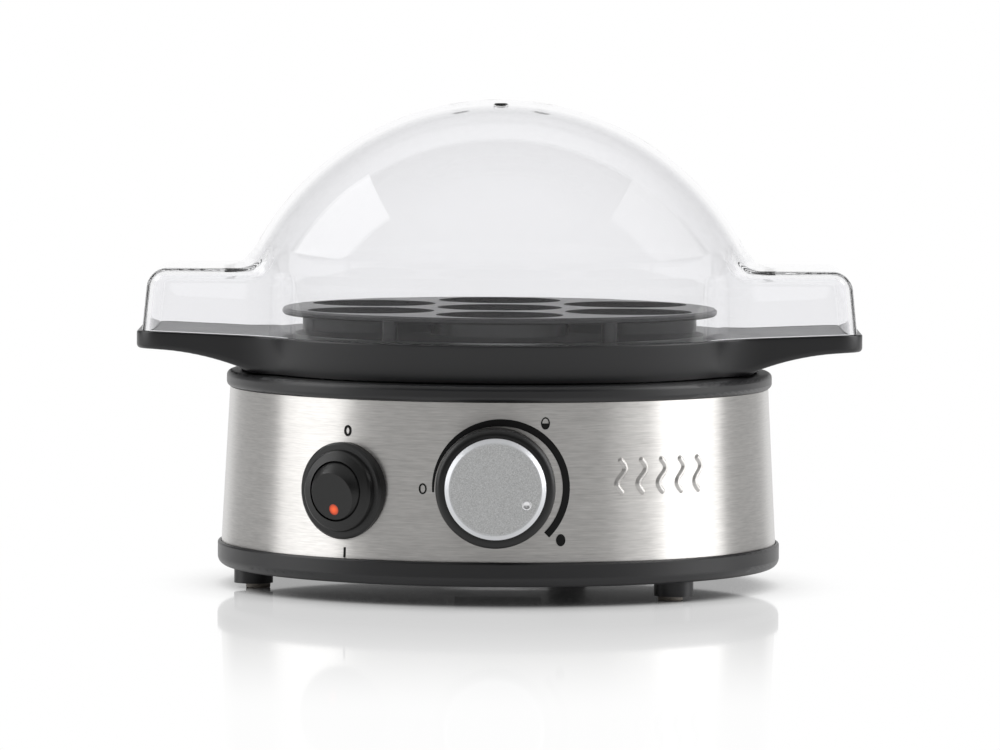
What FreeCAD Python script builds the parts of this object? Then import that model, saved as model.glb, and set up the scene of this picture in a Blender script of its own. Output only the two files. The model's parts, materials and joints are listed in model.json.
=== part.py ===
"""Electric egg cooker for seven eggs.

Millimetres, +Z up. The origin is on the table, under the middle of the round
body, and the controls face -Y. The body is a steel band between a black base
and a black top ring; a tray with two ears, an egg rack and a clear lid stack
on top of it and lift straight off.
"""
import FreeCAD, Part

import math
import os

from FreeCAD import Rotation, Vector

# ---------------------------------------------------------------- dimensions
# heights above the table
PAD_H = 1.6            # soft pad under each foot
BASE_Z = 6.3           # underside of the base
FLOOR_T = 2.4          # base floor
LIP_Z = 14.1           # top of the base lip
BAND_TOP = 63.5        # steel band, under the top ring
RING_TOP = 68.7
SKIRT_Z = 69.2         # lower edge of the tray skirt
RIM_Z = 80.9           # tray rim, where the lid stands
EAR_Z = 82.3           # top of the tray's ears
RACK_Z = 86.8          # underside of the egg rack
LID_EAR_Z = 102.2      # top of the lid's hollow ears
APEX_Z = 155.5         # top of the dome

# radii of the round body
BASE_R = 90.0
BAND_R_LOW = 88.8      # steel band at its lower edge
BAND_R_HIGH = 86.2     # steel band at its upper edge
BAND_T = 0.8
RING_R = 87.3
TRAY_R = 82.2
SKIRT_R = 80.2
RACK_R = 69.6

# ears of the tray and the lid
EAR_TIP = 115.1        # reach of a tray ear from the middle
EAR_HALF = 34.3        # half the width of a tray ear
EAR_T = 5.6
LID_EAR_TIP = 113.4
LID_EAR_HALF = 33.0
EAR_CORNER = 9.0       # corner radius seen from above

# lid
LID_T = 2.2
DOME_R = 88.5          # radius of the spherical top
WALL_R = 81.0          # dome wall where it stands on the rim
WALL_TOP_R = 80.2      # the same wall, if it went on to WALL_TOP_Z
WALL_TOP_Z = 101.5
BEND_R = 12.0          # bend between the wall and the spherical top
LID_GAP = 0.1          # play between stacked parts
VENT_R = 2.2
VENT_PCD_R = 15.0

# egg rack
RACK_T = 2.1
EGG_HOLE_R = 20.0
EGG_PITCH_R = 47.0
COLLAR_T = 1.4
COLLAR_H = 4.0

# feet and the screws that run up through them
FOOT_R = 80.0
FOOT_ANGLES = {"left": -167.0, "right": -46.5, "rear": 73.5}
FOOT_BOSS_R = 6.2
FOOT_PAD_R = 3.9
SCREW_R = 1.5
SCREW_HEAD_R = 3.1
POST_R = 4.0
POST_AT = 78.5

# heating dish
DISH_R = 67.8          # inside radius
DISH_T = 1.2
DISH_FLANGE_R = 76.0
DISH_FLANGE_Z = 67.2
DISH_FLOOR_Z = 55.0
ELEMENT_R = 46.0
ELEMENT_TUBE_R = 3.4

# controls
KNOB_X = -1.0          # the knob sits a little left of the dial's middle
KNOB_Z = 37.4
DIAL_X = 0.7           # middle of the printed dial
KNOB_R = 18.65
KNOB_CAP_R = 15.7
KNOB_FACE = 98.2       # distance of the knob's face from the body's axis
SHAFT_R = 3.0
RUN_FIT = 0.05         # running clearance, on the radius
POINTER_R = 10.8
POINTER_ANGLE = -26.3
SWITCH_Z = 35.1
SWITCH_AZIMUTH = -33.5  # turned this far from the front, about +Z
BEZEL_R = 15.15
ROCKER_SPHERE_R = 10.4
ROCKER_TILT = 12.0     # the rocker's face tips down by this in the on position
MOUTH_R = 8.95
MOUTH = 92.4           # distance of the rocker's mouth from the body's axis
HOUSING_R = 12.0
PIN_R = 1.0            # pivot pins on the rocker
PIN_REACH = 11.6
GLAND_Z = 24.0
GLAND_BORE_R = 3.6
GLAND_KEY = 10.0                     # side of the bush's square neck, which keeps it from turning
GLAND_NUT_Y = 86.8                   # face of the bush's nut, against the inside of the band

PRINT_T = 0.12         # printed marks stand this far off the steel

X, Y, Z = Vector(1, 0, 0), Vector(0, 1, 0), Vector(0, 0, 1)
ORIGIN = Vector(0, 0, 0)


# ------------------------------------------------------------------- helpers
def save(shape, node):
    """Write one node, after a test that its solids are sound."""
    if not shape.isValid() or not shape.Solids:
        raise ValueError(node + " is not a sound solid")
    shape.exportStep("parts/" + node + ".step")
    print(f"{node:22s} {len(shape.Solids)} solid(s) {shape.Volume / 1000:8.2f} cm3")


def revolved(points, axis=Z):
    """Turn a closed outline about an axis; points are (radius, distance along it)."""
    side = X if axis == Z else Z
    corners = [side * r + axis * h for r, h in points]
    face = Part.Face(Part.makePolygon(corners + corners[:1]))
    return face.revolve(ORIGIN, axis, 360)


def tube(outer, inner, low, high):
    """Upright ring with a square section."""
    return revolved([(inner, low), (outer, low), (outer, high), (inner, high)])


def rod(radius, start, end):
    """Cylinder from one point to another."""
    return Part.makeCylinder(radius, (end - start).Length, start, end - start)


def slab(low, high):
    """Box between two opposite corners."""
    return Part.makeBox(high[0] - low[0], high[1] - low[1], high[2] - low[2], Vector(*low))


def polar(radius, angle, height=0.0):
    """Point at a radius and an angle from +X."""
    a = math.radians(angle)
    return Vector(radius * math.cos(a), radius * math.sin(a), height)


def knob_axis(distance):
    """Point on the knob's axis at a distance in front of the body's axis."""
    return Vector(KNOB_X, -distance, KNOB_Z)


def rounded(shape, radius, rims):
    """Round a turned shape's edges, each given by its radius and its middle."""
    def wanted(edge):
        curve = edge.Curve
        return curve.TypeId == "Part::GeomCircle" and any(
            abs(curve.Radius - r) < 1e-4 and (curve.Center - middle).Length < 1e-4 for r, middle in rims)
    return shape.makeFillet(radius, [e for e in shape.Edges if wanted(e)])


def turned(shape, azimuth):
    """Copy of a shape made at the front, moved round the body."""
    copy = shape.copy()
    copy.rotate(ORIGIN, Z, azimuth)
    return copy


def band_radius(height):
    """Outside radius of the steel band at a height."""
    share = (height - LIP_Z) / (BAND_TOP - LIP_Z)
    return BAND_R_LOW + share * (BAND_R_HIGH - BAND_R_LOW)


def band_skin(inside, outside):
    """Thin cone that follows the band, between two offsets from its outer face."""
    low, high = LIP_Z + 0.1, BAND_TOP - 1
    return revolved([(band_radius(low) + inside, low), (band_radius(low) + outside, low),
                     (band_radius(high) + outside, high), (band_radius(high) + inside, high)])


def on_band(face, azimuth=0.0):
    """Push a flat mark, drawn in the XZ plane, onto the band as a thin raised solid."""
    prism = face.extrude(Y * -(BASE_R + 5))
    return turned(prism.common(band_skin(0, PRINT_T)), azimuth)


def round_box(low, high, corner, edge):
    """Box whose four upright edges and upper rim are rounded."""
    box = slab(low, high)
    upright = [e for e in box.Edges if abs(e.BoundBox.ZLength - box.BoundBox.ZLength) < 1e-6]
    box = box.makeFillet(corner, upright)
    top = [e for e in box.Edges if e.BoundBox.ZMin > high[2] - 1e-6]
    return box.makeFillet(edge, top)


def both_sides(shape):
    """A shape and its mirror image across the YZ plane."""
    return [shape, shape.mirror(ORIGIN, X)]


# ---------------------------------------------------------------- lower body
def base_pan():
    """Black base: floor, lip with a groove for the band, and three hollow feet."""
    groove_out = band_radius(LIP_Z - 3) + 0.1
    groove_in = BAND_R_LOW - BAND_T - 0.1
    pan = revolved([(0, BASE_Z), (BASE_R, BASE_Z), (BASE_R, LIP_Z), (groove_out, LIP_Z),
                    (groove_out, LIP_Z - 3), (groove_in, LIP_Z - 3), (groove_in, LIP_Z - 0.6),
                    (groove_in - 2, LIP_Z - 0.6), (groove_in - 2, BASE_Z + FLOOR_T),
                    (0, BASE_Z + FLOOR_T)])
    pan = rounded(pan, 3.0, [(BASE_R, Z * BASE_Z)])
    pan = rounded(pan, 0.7, [(BASE_R, Z * LIP_Z)])
    for angle in FOOT_ANGLES.values():
        foot = polar(FOOT_R, angle, PAD_H)
        pan = pan.fuse(Part.makeCylinder(FOOT_BOSS_R, BASE_Z - PAD_H + 1, foot))
    for angle in FOOT_ANGLES.values():
        foot = polar(POST_AT, angle, PAD_H)
        pan = pan.cut(Part.makeCylinder(SCREW_HEAD_R + 0.3, 3.6, foot))
        pan = pan.cut(Part.makeCylinder(SCREW_R + 0.2, 10, foot))
    for row in range(-3, 4):
        slot = slab((-14, row * 7 - 1.5, BASE_Z - 1), (14, row * 7 + 1.5, BASE_Z + FLOOR_T + 1))
        pan = pan.cut(slot)
    return pan.removeSplitter()


def foot_pad(angle):
    """Soft disc under a foot, with a plug that fills the screw's recess."""
    at = polar(POST_AT, angle)
    disc = Part.makeCylinder(FOOT_PAD_R, PAD_H, at)
    disc = disc.makeFillet(0.4, [e for e in disc.Edges if e.BoundBox.ZMax < 0.01])
    return disc.fuse(Part.makeCylinder(SCREW_HEAD_R, 0.8, at + Z * PAD_H))


def base_screws():
    """Three long screws, one up through each foot."""
    screws = []
    for angle in FOOT_ANGLES.values():
        at = polar(POST_AT, angle, PAD_H + 0.9)
        head = Part.makeCylinder(SCREW_HEAD_R, 2.4, at)
        head = head.cut(slab((at.x - 2.2, at.y - 0.4, at.z - 0.1), (at.x + 2.2, at.y + 0.4, at.z + 0.9)))
        screws.append(head.fuse(Part.makeCylinder(SCREW_R - 0.05, 17, at)))
    return Part.makeCompound(screws)


def gland_square(side, start, end):
    """Square bar with rounded edges along Y on the bush's axis."""
    half = side / 2
    bar = slab((-half, start, GLAND_Z - half), (half, end, GLAND_Z + half))
    return bar.makeFillet(1.2, [e for e in bar.Edges if abs(e.Length - (end - start)) < 1e-6])


def steel_band():
    """Cone-shaped steel wall with a hole each for the knob, the switch and the cord."""
    low, high = LIP_Z - 3, BAND_TOP
    wall = revolved([(band_radius(low) - BAND_T, low), (band_radius(low), low),
                     (band_radius(high), high), (band_radius(high) - BAND_T, high)])
    wall = wall.cut(rod(SHAFT_R + 0.6, knob_axis(80), knob_axis(95)))
    wall = wall.cut(gland_square(GLAND_KEY + 0.4, 80, 95))
    switch_hole = rod(HOUSING_R + 0.2, Vector(0, -80, SWITCH_Z), Vector(0, -95, SWITCH_Z))
    return wall.cut(turned(switch_hole, SWITCH_AZIMUTH))


def top_ring():
    """Black ring over the band, with a seat for the dish and three screw posts."""
    inner, seat = 72.0, DISH_FLANGE_R + 0.5
    collar = band_radius(BAND_TOP) - BAND_T - 0.2
    ring = revolved([(inner, 61.5), (collar - 1.8, 61.5), (collar - 1.8, 57.5), (collar, 57.5),
                     (collar, BAND_TOP), (RING_R, BAND_TOP), (RING_R, RING_TOP), (seat, RING_TOP),
                     (seat, 64.6), (inner, 64.6)])
    ring = rounded(ring, 1.7, [(RING_R, Z * BAND_TOP), (RING_R, Z * RING_TOP)])
    floor = BASE_Z + FLOOR_T
    for angle in FOOT_ANGLES.values():
        at = polar(POST_AT, angle, floor)
        ring = ring.fuse(Part.makeCylinder(POST_R, 62 - floor, at))
        ring = ring.cut(Part.makeCylinder(SCREW_R, 14, at - Z * 0.5))
    return ring


# ------------------------------------------------------------------- heating
def heating_dish():
    """Shallow metal dish for the water, with two studs on its underside."""
    outer, inner = DISH_R + DISH_T, DISH_R
    under = DISH_FLOOR_Z - DISH_T
    dish = revolved([(0, under), (outer - 3, under), (outer, under + 3),
                     (outer, DISH_FLANGE_Z - DISH_T), (DISH_FLANGE_R, DISH_FLANGE_Z - DISH_T),
                     (DISH_FLANGE_R, DISH_FLANGE_Z), (inner, DISH_FLANGE_Z),
                     (inner, DISH_FLOOR_Z + 2), (inner - 2, DISH_FLOOR_Z), (0, DISH_FLOOR_Z)])
    for side in (-30, 30):
        dish = dish.fuse(rod(2.0, Vector(side, 0, under + 0.3), Vector(side, 0, 41)))
    return dish


def heating_element():
    """Tubular heater: most of a ring under the dish, with both ends turned down."""
    height = DISH_FLOOR_Z - DISH_T - ELEMENT_TUBE_R
    gap = 28.0
    ring = Part.makeTorus(ELEMENT_R, ELEMENT_TUBE_R, Vector(0, 0, height), Z, -180, 180, 360 - gap)
    ring.rotate(ORIGIN, Z, 90 + gap / 2)
    for side in (-1, 1):
        end = polar(ELEMENT_R, 90 + side * gap / 2, height)
        ring = ring.fuse([Part.makeSphere(ELEMENT_TUBE_R, end),
                          rod(ELEMENT_TUBE_R, end, Vector(end.x, end.y, 40))])
    return ring


def element_terminals():
    """Ceramic bead and pin on each end of the heater."""
    pins = []
    for side in (-14, 14):
        end = polar(ELEMENT_R, 90 + side, 40)
        bead = rod(2.8, end, end - Z * 4)
        pins.append(bead.fuse(rod(1.1, end - Z * 4, end - Z * 12)))
    return Part.makeCompound(pins)


def element_clamp():
    """Flat bar, widened round the thermostat, that presses the heater against the dish."""
    bar = slab((-52, -6, 46.2), (52, 6, 47.0)).fuse(Part.makeCylinder(13, 0.8, Z * 46.2))
    for side in (-30, 0, 30):
        bar = bar.cut(rod(8.8 if side == 0 else 2.2, Vector(side, 0, 46), Vector(side, 0, 48)))
    return bar


def clamp_nuts():
    """Hexagon nut on each dish stud."""
    nuts = []
    for side in (-30, 30):
        corners = [Vector(side, 0, 43.2) + polar(4.0, 60 * k) for k in range(7)]
        nut = Part.Face(Part.makePolygon(corners)).extrude(Z * 3.0)
        nuts.append(nut.cut(rod(2.05, Vector(side, 0, 43), Vector(side, 0, 47))))
    return Part.makeCompound(nuts)


def thermostat():
    """Snap-disc thermostat against the middle of the dish, with two tabs."""
    top = DISH_FLOOR_Z - DISH_T
    body = rod(8.5, Vector(0, 0, top - 7.5), Vector(0, 0, top))
    for side in (-4.5, 4.5):
        body = body.fuse(slab((side - 0.4, -3.2, 37), (side + 0.4, 3.2, top - 7)))
    return body


def thermal_fuse():
    """Sleeve fuse that lies against the dish, with a lead at each end."""
    height = DISH_FLOOR_Z - DISH_T - 2.2
    fuse = rod(2.2, Vector(-7, 24, height), Vector(7, 24, height))
    return fuse.fuse(rod(0.6, Vector(-13, 24, height), Vector(13, 24, height)))


# ------------------------------------------------------------ inner controls
def control_board():
    """Circuit board behind the knob, hung from the control's back."""
    return slab((-24, -70, 19), (24, -68.4, 52))


def cooking_control():
    """Rotary control: round body on the board and a threaded bush through the band."""
    body = rod(8.5, knob_axis(70), knob_axis(79))
    body = body.fuse(rod(3.55, knob_axis(78), knob_axis(90.2)))
    return body.cut(rod(SHAFT_R + RUN_FIT, knob_axis(77), knob_axis(91)))


def shaft_nut():
    """Nut on the bush, outside the band and under the knob."""
    corners = [knob_axis(88.0) + Rotation(X, 90).multVec(polar(6.2, 60 * k)) for k in range(7)]
    nut = Part.Face(Part.makePolygon(corners)).extrude(Y * -1.8)
    return nut.cut(rod(3.6, knob_axis(87), knob_axis(91)))


def relay():
    return slab((-22, -68.4, 36), (-6, -58, 50))


def buzzer():
    can = rod(6.0, Vector(13, -68.4, 44), Vector(13, -60, 44))
    return can.cut(rod(1.0, Vector(13, -62, 44), Vector(13, -59, 44)))


def capacitors():
    """Three upright cans of the board's power supply."""
    return Part.makeCompound([rod(3.2, Vector(x, -68.4, 27), Vector(x, -57, 27)) for x in (-15, -5, 5)])


# ---------------------------------------------------------------- the switch
def switch_frame(distance):
    """Point on the switch's axis at a distance from the body's axis, before turning."""
    return Vector(0, -distance, SWITCH_Z)


def pivot_distance():
    """Where the rocker pivots, so that its ball just clears the mouth."""
    return MOUTH - math.sqrt((ROCKER_SPHERE_R + 0.1) ** 2 - (MOUTH_R - 0.05) ** 2)


def switch_bezel():
    """Stepped collar that lies on the band, hollow for the rocker's ball and its pins."""
    outline = [(0, 84.5), (BEZEL_R, 84.5), (BEZEL_R, 88.9), (BEZEL_R - 0.7, 89.6), (12.9, 89.7),
               (12.5, 91.0), (11.9, 91.5), (MOUTH_R, MOUTH), (0, MOUTH)]
    collar = revolved([(r, -d) for r, d in outline], Y)
    collar.translate(Z * SWITCH_Z)
    collar = collar.cut(rod(MOUTH_R, switch_frame(80), switch_frame(100)))
    collar = collar.cut(Part.makeSphere(ROCKER_SPHERE_R + 0.5, switch_frame(pivot_distance())))
    collar = collar.cut(rod(ROCKER_SPHERE_R + 0.5, switch_frame(80), switch_frame(pivot_distance())))
    pin = switch_frame(pivot_distance())
    collar = collar.cut(rod(PIN_R + RUN_FIT, pin - X * PIN_REACH, pin + X * PIN_REACH))
    inside = band_skin(-20, 0.02)
    sleeve = collar.common(rod(HOUSING_R, switch_frame(80), switch_frame(100)))
    return turned(collar.cut(inside).fuse(sleeve), SWITCH_AZIMUTH)


def switch_housing():
    """Closed barrel behind the bezel."""
    barrel = rod(HOUSING_R, switch_frame(84.5), switch_frame(64))
    barrel = barrel.cut(rod(ROCKER_SPHERE_R + 0.5, switch_frame(85), switch_frame(66)))
    return turned(barrel, SWITCH_AZIMUTH)


def switch_terminals():
    """Three flat tabs out of the back of the barrel."""
    tabs = [slab((x - 0.4, -64, SWITCH_Z - 3.1), (x + 0.4, -56, SWITCH_Z + 3.1)) for x in (-5, 0, 5)]
    return turned(Part.makeCompound(tabs), SWITCH_AZIMUTH)


def rocker_lens_at():
    """Middle of the lens on the rocker's face, in the rocker's own untilted frame."""
    return Vector(0, -pivot_distance() - 7.2, SWITCH_Z - 4.3)


def tilted(shape):
    """Tilt a rocker piece to the on position and move it to the switch's place."""
    shape.rotate(switch_frame(pivot_distance()), X, ROCKER_TILT)
    return turned(shape, SWITCH_AZIMUTH)


def rocker():
    """Ball with a flat face and a hollow back, on a cross pin in the collar."""
    pivot = switch_frame(pivot_distance())
    ball = Part.makeSphere(ROCKER_SPHERE_R, pivot)
    ball = ball.common(slab((-12, pivot.y - 7.2, SWITCH_Z - 12), (12, pivot.y + 2.5, SWITCH_Z + 12)))
    ball = ball.fuse(rod(PIN_R, pivot - X * (PIN_REACH - 0.1), pivot + X * (PIN_REACH - 0.1)))
    ball = ball.cut(slab((-6, pivot.y - 4.6, SWITCH_Z - 7), (6, pivot.y + 3, SWITCH_Z + 7)))
    ball = ball.cut(rod(1.75, rocker_lens_at() - Y, rocker_lens_at() + Y * 4))
    return tilted(ball)


def rocker_lens():
    """Clear lens in the rocker's lower end."""
    return tilted(rod(1.75, rocker_lens_at() + Y * 0.1, rocker_lens_at() + Y * 2.6))


def neon_lamp():
    """Small lamp inside the hollow rocker, behind the lens."""
    at = rocker_lens_at() + Y * 2.7
    return tilted(rod(1.6, at, at + Y * 4.0))


# ------------------------------------------------------------------ the knob
def knob_body():
    """Black knob with a hollow back, a hub on the shaft and a recess for the cap."""
    back, wall, front = 88.9, 92.6, 95.6
    outline = [(3.0, 90.8), (5.5, 90.8), (5.5, wall), (16.4, wall), (16.4, back), (KNOB_R, back),
               (KNOB_R, front), (KNOB_CAP_R, front), (KNOB_CAP_R, 94.2), (SHAFT_R, 94.2)]
    knob = revolved([(r, -d) for r, d in outline], Y)
    knob = rounded(knob, 2.2, [(KNOB_R, Y * -front)])
    knob.translate(knob_axis(0))
    return knob


def pointer_at():
    a = math.radians(POINTER_ANGLE)
    return knob_axis(KNOB_FACE) + Vector(POINTER_R * math.cos(a), 0, POINTER_R * math.sin(a))


def knob_cap():
    """Silver disc with a bevelled rim and a pit for the pointer."""
    cap = revolved([(0, -94.2), (KNOB_CAP_R, -94.2), (KNOB_CAP_R, -KNOB_FACE + 1.1),
                    (KNOB_CAP_R - 1.3, -KNOB_FACE), (0, -KNOB_FACE)], Y)
    cap.translate(knob_axis(0))
    return cap.cut(rod(1.6, pointer_at() - Y, pointer_at() + Y * 0.5))


def knob_pointer():
    """Ring with a dimple that shows where the knob points."""
    ring = rod(1.6, pointer_at() + Y * 0.5, pointer_at() - Y * 0.15)
    return ring.cut(rod(1.05, pointer_at() + Y * 0.2, pointer_at() - Y))


def control_shaft():
    """Shaft of the rotary control, which turns with the knob."""
    return rod(SHAFT_R, knob_axis(77.2), knob_axis(94.1))


# ------------------------------------------------------------- printed marks
def ellipse_face(centre_x, centre_z, wide, tall, slot=0.0):
    """Upright ellipse in the XZ plane, as a ring if slot gives its line's width."""
    def disc(w, t):
        ring = Part.Ellipse(ORIGIN, max(w, t) / 2, min(w, t) / 2).toShape()
        face = Part.Face(Part.Wire([ring]))
        face.rotate(ORIGIN, Z, 90)
        face.rotate(ORIGIN, X, 90)
        face.translate(Vector(centre_x, 0, centre_z))
        return face
    outer = disc(wide, tall)
    return outer.cut(disc(wide - 2 * slot, tall - 2 * slot)) if slot else outer


def upright_face(left, low, right, high):
    """Rectangle in the XZ plane."""
    corners = [(left, low), (right, low), (right, high), (left, high), (left, low)]
    return Part.Face(Part.makePolygon([Vector(x, 0, z) for x, z in corners]))


def dial_arc():
    """Curved band round the knob that swells from nine o'clock to twelve."""
    radius, thin, thick, start, end = 21.4, 0.6, 2.2, 184, -45.4

    def at(r, angle):
        return Rotation(X, 90).multVec(polar(r, angle))

    middle = Vector(DIAL_X, 0, KNOB_Z - 0.3)
    mid = radius - (thin + thick) / 2
    arcs = [
        Part.Arc(at(radius, start), at(radius, 68), at(radius, end)).toShape(),
        Part.makeLine(at(radius, end), at(radius - thick, end)),
        Part.Arc(at(radius - thick, end), at(radius - thick, 23), at(radius - thick, 90)).toShape(),
        Part.Arc(at(radius - thick, 90), at(mid, 137), at(radius - thin, start)).toShape(),
        Part.makeLine(at(radius - thin, start), at(radius, start)),
    ]
    face = Part.Face(Part.Wire(arcs))
    face.translate(middle)
    return face


def dial_print():
    """The dial's arc and three egg marks: soft, medium and hard."""
    soft = ellipse_face(-23.6, 36.6, 2.45, 3.4, 0.48)
    medium_x, medium_z, wide, tall, line = 14.4, 57.2, 2.8, 3.8, 0.42
    empty = ellipse_face(medium_x, medium_z, wide - 2 * line, tall - 2 * line)
    empty = empty.common(upright_face(medium_x - wide, medium_z, medium_x + wide, medium_z + tall))
    medium = ellipse_face(medium_x, medium_z, wide, tall).cut(empty)
    hard = ellipse_face(19.35, 21.0, 2.9, 3.75)
    return Part.makeCompound([on_band(f) for f in (dial_arc(), soft, medium, hard)])


def switch_print():
    """Ring above the switch for off, bar below it for on."""
    middle = SWITCH_Z - 19.2
    bar = upright_face(0.9, middle - 1.6, 1.6, middle + 1.6)
    ring = ellipse_face(0.9, SWITCH_Z + 18.7, 2.7, 3.5, 0.75)
    return Part.makeCompound([on_band(f, SWITCH_AZIMUTH) for f in (ring, bar)])


# ---------------------------------------------------------------- cord inlet
def cord_gland():
    """Black bush at the back: collar that fits the band, square neck through it, and a thread."""
    collar = revolved([(GLAND_BORE_R, 84.0), (8.4, 84.0), (8.4, 91.0), (6.6, 93.0), (5.8, 96.4),
                       (5.3, 96.8), (GLAND_BORE_R, 96.8)], Y)
    thread = revolved([(GLAND_BORE_R, 83.0), (5.0, 83.0), (5.0, 90.0), (GLAND_BORE_R, 90.0)], Y)
    for piece in (collar, thread):
        piece.translate(Z * GLAND_Z)
    neck = gland_square(GLAND_KEY, GLAND_NUT_Y, 90.0)
    neck = neck.cut(rod(GLAND_BORE_R, Vector(0, 80, GLAND_Z), Vector(0, 95, GLAND_Z)))
    return collar.cut(band_skin(-20, 0.02)).fuse(thread).fuse(neck)


def gland_nut():
    """Six-sided nut inside the band that holds the bush."""
    back = Vector(0, GLAND_NUT_Y - 3.4, GLAND_Z)
    corners = [back + Rotation(X, 90).multVec(polar(8.0, 60 * k)) for k in range(7)]
    nut = Part.Face(Part.makePolygon(corners)).extrude(Y * 3.4)
    return nut.cut(rod(5.05, Vector(0, 80, GLAND_Z), Vector(0, 90, GLAND_Z)))


# ------------------------------------------------------- tray, rack and lid
def ear_sweep():
    """Space under a tray ear: the ear is thin at its tip and swells to the skirt."""
    under = EAR_Z - EAR_T
    path = [
        Part.makeLine(Vector(EAR_TIP + 5, 0, under), Vector(100.0, 0, under - 0.6)),
        Part.Arc(Vector(100.0, 0, under - 0.6), Vector(89.6, 0, under - 3.3),
                 Vector(SKIRT_R, 0, SKIRT_Z)).toShape(),
        Part.makeLine(Vector(SKIRT_R, 0, SKIRT_Z), Vector(SKIRT_R, 0, SKIRT_Z - 5)),
        Part.makeLine(Vector(SKIRT_R, 0, SKIRT_Z - 5), Vector(EAR_TIP + 5, 0, SKIRT_Z - 5)),
        Part.makeLine(Vector(EAR_TIP + 5, 0, SKIRT_Z - 5), Vector(EAR_TIP + 5, 0, under)),
    ]
    face = Part.Face(Part.Wire(path))
    face.translate(Y * -50)
    return face.extrude(Y * 100)


def steam_tray():
    """Black tray: skirt, flat rim, inner wall that dips into the dish, and two ears."""
    wall, top = 2.2, RIM_Z - 2.2
    body = revolved([(SKIRT_R, SKIRT_Z), (TRAY_R, RIM_Z - 0.4), (TRAY_R - 0.4, RIM_Z),
                     (65.0, RIM_Z), (65.0, 62.0), (67.0, 62.0), (67.0, top), (72.0, top),
                     (72.0, DISH_FLANGE_Z + LID_GAP), (74.0, DISH_FLANGE_Z + LID_GAP), (74.0, top),
                     (TRAY_R - wall - 0.6, top), (SKIRT_R - wall, SKIRT_Z)])
    ear = round_box((60, -EAR_HALF, SKIRT_Z), (EAR_TIP, EAR_HALF, EAR_Z), EAR_CORNER, 0.5)
    ear = ear.cut(ear_sweep())
    ear = ear.cut(revolved([(0, 60), (SKIRT_R - 1.0, 60), (SKIRT_R - 1.0, SKIRT_Z),
                            (TRAY_R - 1.0, RIM_Z - 0.6), (TRAY_R - 0.2, RIM_Z), (TRAY_R - 0.2, 90), (0, 90)]))
    ear = ear.cut(Part.makeCylinder(WALL_R + 0.5, 20, Vector(0, 0, RIM_Z)))
    for piece in both_sides(ear):
        body = body.fuse(piece)
    for angle in (60, 120, 240, 300):
        body = body.cut(Part.makeCylinder(2.9, 2.0, polar(68.6, angle, RIM_Z - 1.0)))
    return body


def egg_places():
    """Middle of each egg's place: one in the centre and six round it."""
    return [ORIGIN] + [polar(EGG_PITCH_R, 30 + 60 * k) for k in range(6)]


def egg_rack():
    """Round plate with a collared hole for each egg, on four short legs."""
    plate = revolved([(0, RACK_Z), (RACK_R - 0.6, RACK_Z), (RACK_R, RACK_Z + 0.6),
                      (RACK_R, RACK_Z + RACK_T - 0.6), (RACK_R - 0.6, RACK_Z + RACK_T),
                      (0, RACK_Z + RACK_T)])
    for place in egg_places():
        collar = tube(EGG_HOLE_R + COLLAR_T, EGG_HOLE_R - 0.5, RACK_Z - COLLAR_H, RACK_Z + 0.2)
        collar.translate(place)
        plate = plate.fuse(collar)
    for angle in (60, 120, 240, 300):
        foot = polar(68.2, angle, RIM_Z - 1.0 + LID_GAP)
        plate = plate.fuse(Part.makeCylinder(2.4, RACK_Z + 0.5 - foot.z, foot))
    for place in egg_places():
        plate = plate.cut(Part.makeCylinder(EGG_HOLE_R, 12, place + Z * (RACK_Z - 6)))
    return plate


def dome(inset):
    """Solid dome: straight wall with a slight draft, a tangent bend and a spherical top."""
    centre = APEX_Z - DOME_R
    draft = (WALL_R - WALL_TOP_R) / (WALL_TOP_Z - RIM_Z)
    slope = math.hypot(1, draft)
    # middle of the bend: one bend radius inside both the wall and the sphere
    reach = WALL_R + draft * RIM_Z - BEND_R * slope
    half = (reach * draft + centre) / slope ** 2
    bend_z = half + math.sqrt(half ** 2 - (reach ** 2 + centre ** 2 - (DOME_R - BEND_R) ** 2) / slope ** 2)
    bend = Vector(reach - draft * bend_z, 0, bend_z)
    middle = Z * centre

    def out(point, towards, distance):
        return point + towards.normalize() * distance

    across = out(bend, Vector(1, 0, draft), BEND_R - inset)
    up = out(middle, bend - middle, DOME_R - inset)
    between = out(bend, (across - bend).normalize() + (up - bend).normalize(), BEND_R - inset)
    halfway = out(middle, (up - middle).normalize() + Z, DOME_R - inset)
    start = Z * (RIM_Z + LID_GAP - (5 if inset else 0))
    foot = Vector(across.x + (across.z - start.z) * draft, 0, start.z)
    top = Z * (APEX_Z - inset)
    edges = [Part.makeLine(start, foot), Part.makeLine(foot, across),
             Part.Arc(across, between, up).toShape(), Part.Arc(up, halfway, top).toShape(),
             Part.makeLine(top, start)]
    return Part.Face(Part.Wire(edges)).revolve(ORIGIN, Z, 360)


def lid_ear(inset):
    """Solid lid ear: a long rounded box that starts inside the dome."""
    low = EAR_Z + LID_GAP - (5 if inset else 0)
    return round_box((40, -LID_EAR_HALF + inset, low),
                     (LID_EAR_TIP - inset, LID_EAR_HALF - inset, LID_EAR_Z - inset),
                     EAR_CORNER - inset, 5.0 - inset)


def lid():
    """Clear lid: one thin moulding of a dome and two hollow ears, with three vents."""
    shell = dome(0)
    for ear in both_sides(lid_ear(0)):
        shell = shell.fuse(ear)
    hollow = dome(LID_T)
    for ear in both_sides(lid_ear(LID_T)):
        hollow = hollow.fuse(ear)
    shell = shell.cut(hollow)
    for angle in (-90, 30, 150):
        shell = shell.cut(Part.makeCylinder(VENT_R, 20, polar(VENT_PCD_R, angle, APEX_Z - 12)))
    return shell


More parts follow.
